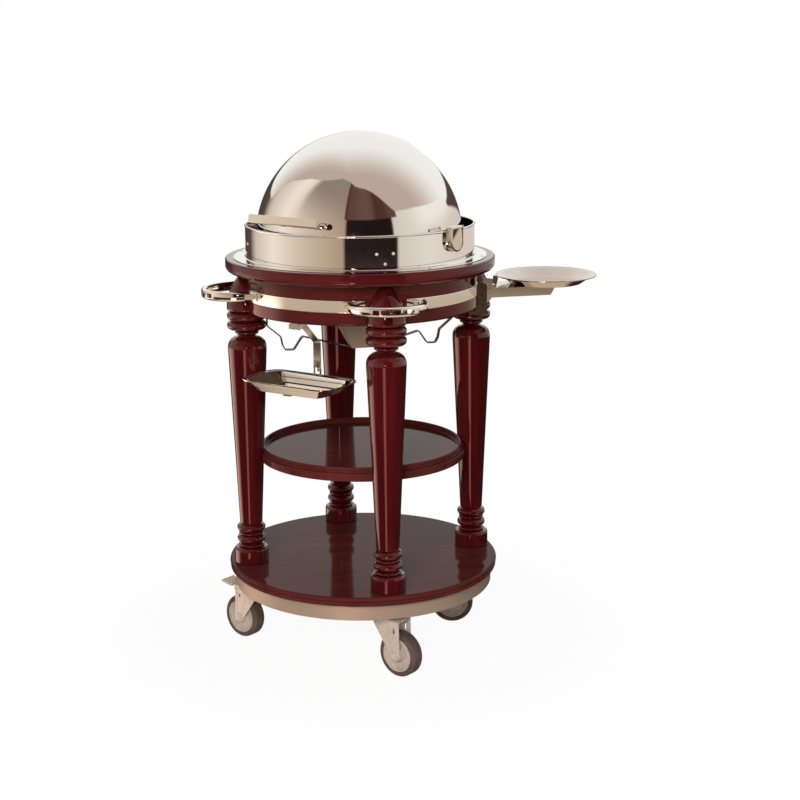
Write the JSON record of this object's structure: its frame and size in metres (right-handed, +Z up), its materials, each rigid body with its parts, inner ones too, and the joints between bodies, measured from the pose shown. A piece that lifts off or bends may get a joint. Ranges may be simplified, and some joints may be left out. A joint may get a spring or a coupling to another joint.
{
  "type": "carving trolley",
  "caption": "Round carving trolley with turned legs, shelves, a roll-top dome over the dish, a folding plate holder, a hanging tray and swivel casters.",
  "frame": {"origin": "on the floor, on the vertical axis through the middle of the shelves", "axes": "+Z up; the front leg is at -Y and the right leg, with the plate holder, at +X"},
  "size_m": [0.936, 0.736, 1.19],
  "materials": {
    "mahogany": "high gloss lacquer",
    "polished_steel": "mirror polished",
    "brushed_steel": "satin",
    "zinc_steel": "zinc plated",
    "base_wood": "plain",
    "board_wood": "oiled",
    "wheel_plastic": "matte",
    "tyre_rubber": "matte"
  },
  "bodies": {
    "trolley": {"base_band": "brushed_steel", "base_board": "base_wood", "lower_shelf": "mahogany", "middle_shelf": "mahogany", "leg_front": "mahogany", "leg_right": "mahogany", "leg_back": "mahogany", "leg_left": "mahogany", "worktop": "mahogany", "apron": "mahogany", "apron_band": "polished_steel", "handle_front": "polished_steel", "handle_back": "polished_steel", "handle_left": "polished_steel", "dish_flange": "polished_steel", "dish_body": "polished_steel", "rear_shell": "polished_steel", "pivot_cover_right": "polished_steel", "pivot_cover_left": "polished_steel", "pivot_pins": "zinc_steel", "body_rivets": "zinc_steel", "flange_screws": "zinc_steel", "water_pan": "brushed_steel", "burner_strap": "brushed_steel", "burner_holder": "brushed_steel", "tray_hanger": "brushed_steel", "plate_bracket": "polished_steel", "caster_plate_front": "zinc_steel", "caster_plate_right": "zinc_steel", "caster_plate_back": "zinc_steel", "caster_plate_left": "zinc_steel"},
    "lid": {"lid": "polished_steel", "lid_handle": "polished_steel"},
    "board": {"carving_plate": "brushed_steel", "carving_board": "board_wood"},
    "burner": {"burner": "brushed_steel"},
    "tray": {"tray": "polished_steel"},
    "plate_arm": {"plate_arm": "polished_steel", "plate_clip": "polished_steel"},
    "dish": {"round_dish": "polished_steel"},
    "caster_front": {"caster_fork_front": "zinc_steel", "axle_front": "zinc_steel"},
    "wheel_front": {"wheel_front": "wheel_plastic", "tyre_front": "tyre_rubber"},
    "caster_right": {"caster_fork_right": "zinc_steel", "axle_right": "zinc_steel"},
    "wheel_right": {"wheel_right": "wheel_plastic", "tyre_right": "tyre_rubber"},
    "brake_right": {"brake_pedal_right": "zinc_steel"},
    "caster_back": {"caster_fork_back": "zinc_steel", "axle_back": "zinc_steel"},
    "wheel_back": {"wheel_back": "wheel_plastic", "tyre_back": "tyre_rubber"},
    "caster_left": {"caster_fork_left": "zinc_steel", "axle_left": "zinc_steel"},
    "wheel_left": {"wheel_left": "wheel_plastic", "tyre_left": "tyre_rubber"},
    "brake_left": {"brake_pedal_left": "zinc_steel"}
  },
  "joints": [
    {"name": "lid_turn", "type": "hinge", "parent": "trolley", "child": "lid", "pos_m": [0, 0, 0.952], "axis": [-0.6293, 0.7771, 0], "range_deg": [0, 74]},
    {"name": "board_lift", "type": "slide", "parent": "trolley", "child": "board", "axis": [0, 0, 1], "range_m": [0, 0.03]},
    {"name": "burner_lift", "type": "slide", "parent": "trolley", "child": "burner", "axis": [0, 0, 1], "range_m": [0, 0.04]},
    {"name": "tray_lift", "type": "slide", "parent": "trolley", "child": "tray", "axis": [0, 0, 1], "range_m": [0, 0.03]},
    {"name": "plate_arm_fold", "type": "hinge", "parent": "trolley", "child": "plate_arm", "pos_m": [0.263, 0, 0.77], "axis": [0, 1, 0], "range_deg": [0, 90]},
    {"name": "dish_lift", "type": "slide", "parent": "plate_arm", "child": "dish", "axis": [0, 0, 1], "range_m": [0, 0.04]},
    {"name": "caster_front_swivel", "type": "hinge", "parent": "trolley", "child": "caster_front", "pos_m": [0, -0.258, 0.125], "axis": [0, 0, 1], "continuous": true},
    {"name": "wheel_front_roll", "type": "hinge", "parent": "caster_front", "child": "wheel_front", "pos_m": [0.0234, -0.28794, 0.05], "axis": [0.788, 0.6157, 0], "continuous": true},
    {"name": "caster_right_swivel", "type": "hinge", "parent": "trolley", "child": "caster_right", "pos_m": [0.258, 0, 0.125], "axis": [0, 0, 1], "continuous": true},
    {"name": "wheel_right_roll", "type": "hinge", "parent": "caster_right", "child": "wheel_right", "pos_m": [0.22129, 0.00984, 0.05], "axis": [-0.2588, -0.9659, 0], "continuous": true},
    {"name": "brake_right_press", "type": "hinge", "parent": "caster_right", "child": "brake_right", "pos_m": [0.21357, 0.01191, 0.1194], "axis": [-0.2588, -0.9659, 0], "range_deg": [0, 15]},
    {"name": "caster_back_swivel", "type": "hinge", "parent": "trolley", "child": "caster_back", "pos_m": [0, 0.258, 0.125], "axis": [0, 0, 1], "continuous": true},
    {"name": "wheel_back_roll", "type": "hinge", "parent": "caster_back", "child": "wheel_back", "pos_m": [0.013, 0.29371, 0.05], "axis": [-0.9397, 0.342, 0], "continuous": true},
    {"name": "caster_left_swivel", "type": "hinge", "parent": "trolley", "child": "caster_left", "pos_m": [-0.258, 0, 0.125], "axis": [0, 0, 1], "continuous": true},
    {"name": "wheel_left_roll", "type": "hinge", "parent": "caster_left", "child": "wheel_left", "pos_m": [-0.2814, 0.02994, 0.05], "axis": [-0.788, -0.6157, 0], "continuous": true},
    {"name": "brake_left_press", "type": "hinge", "parent": "caster_left", "child": "brake_left", "pos_m": [-0.28632, 0.03625, 0.1194], "axis": [-0.788, -0.6157, 0], "range_deg": [0, 15]}
  ]
}
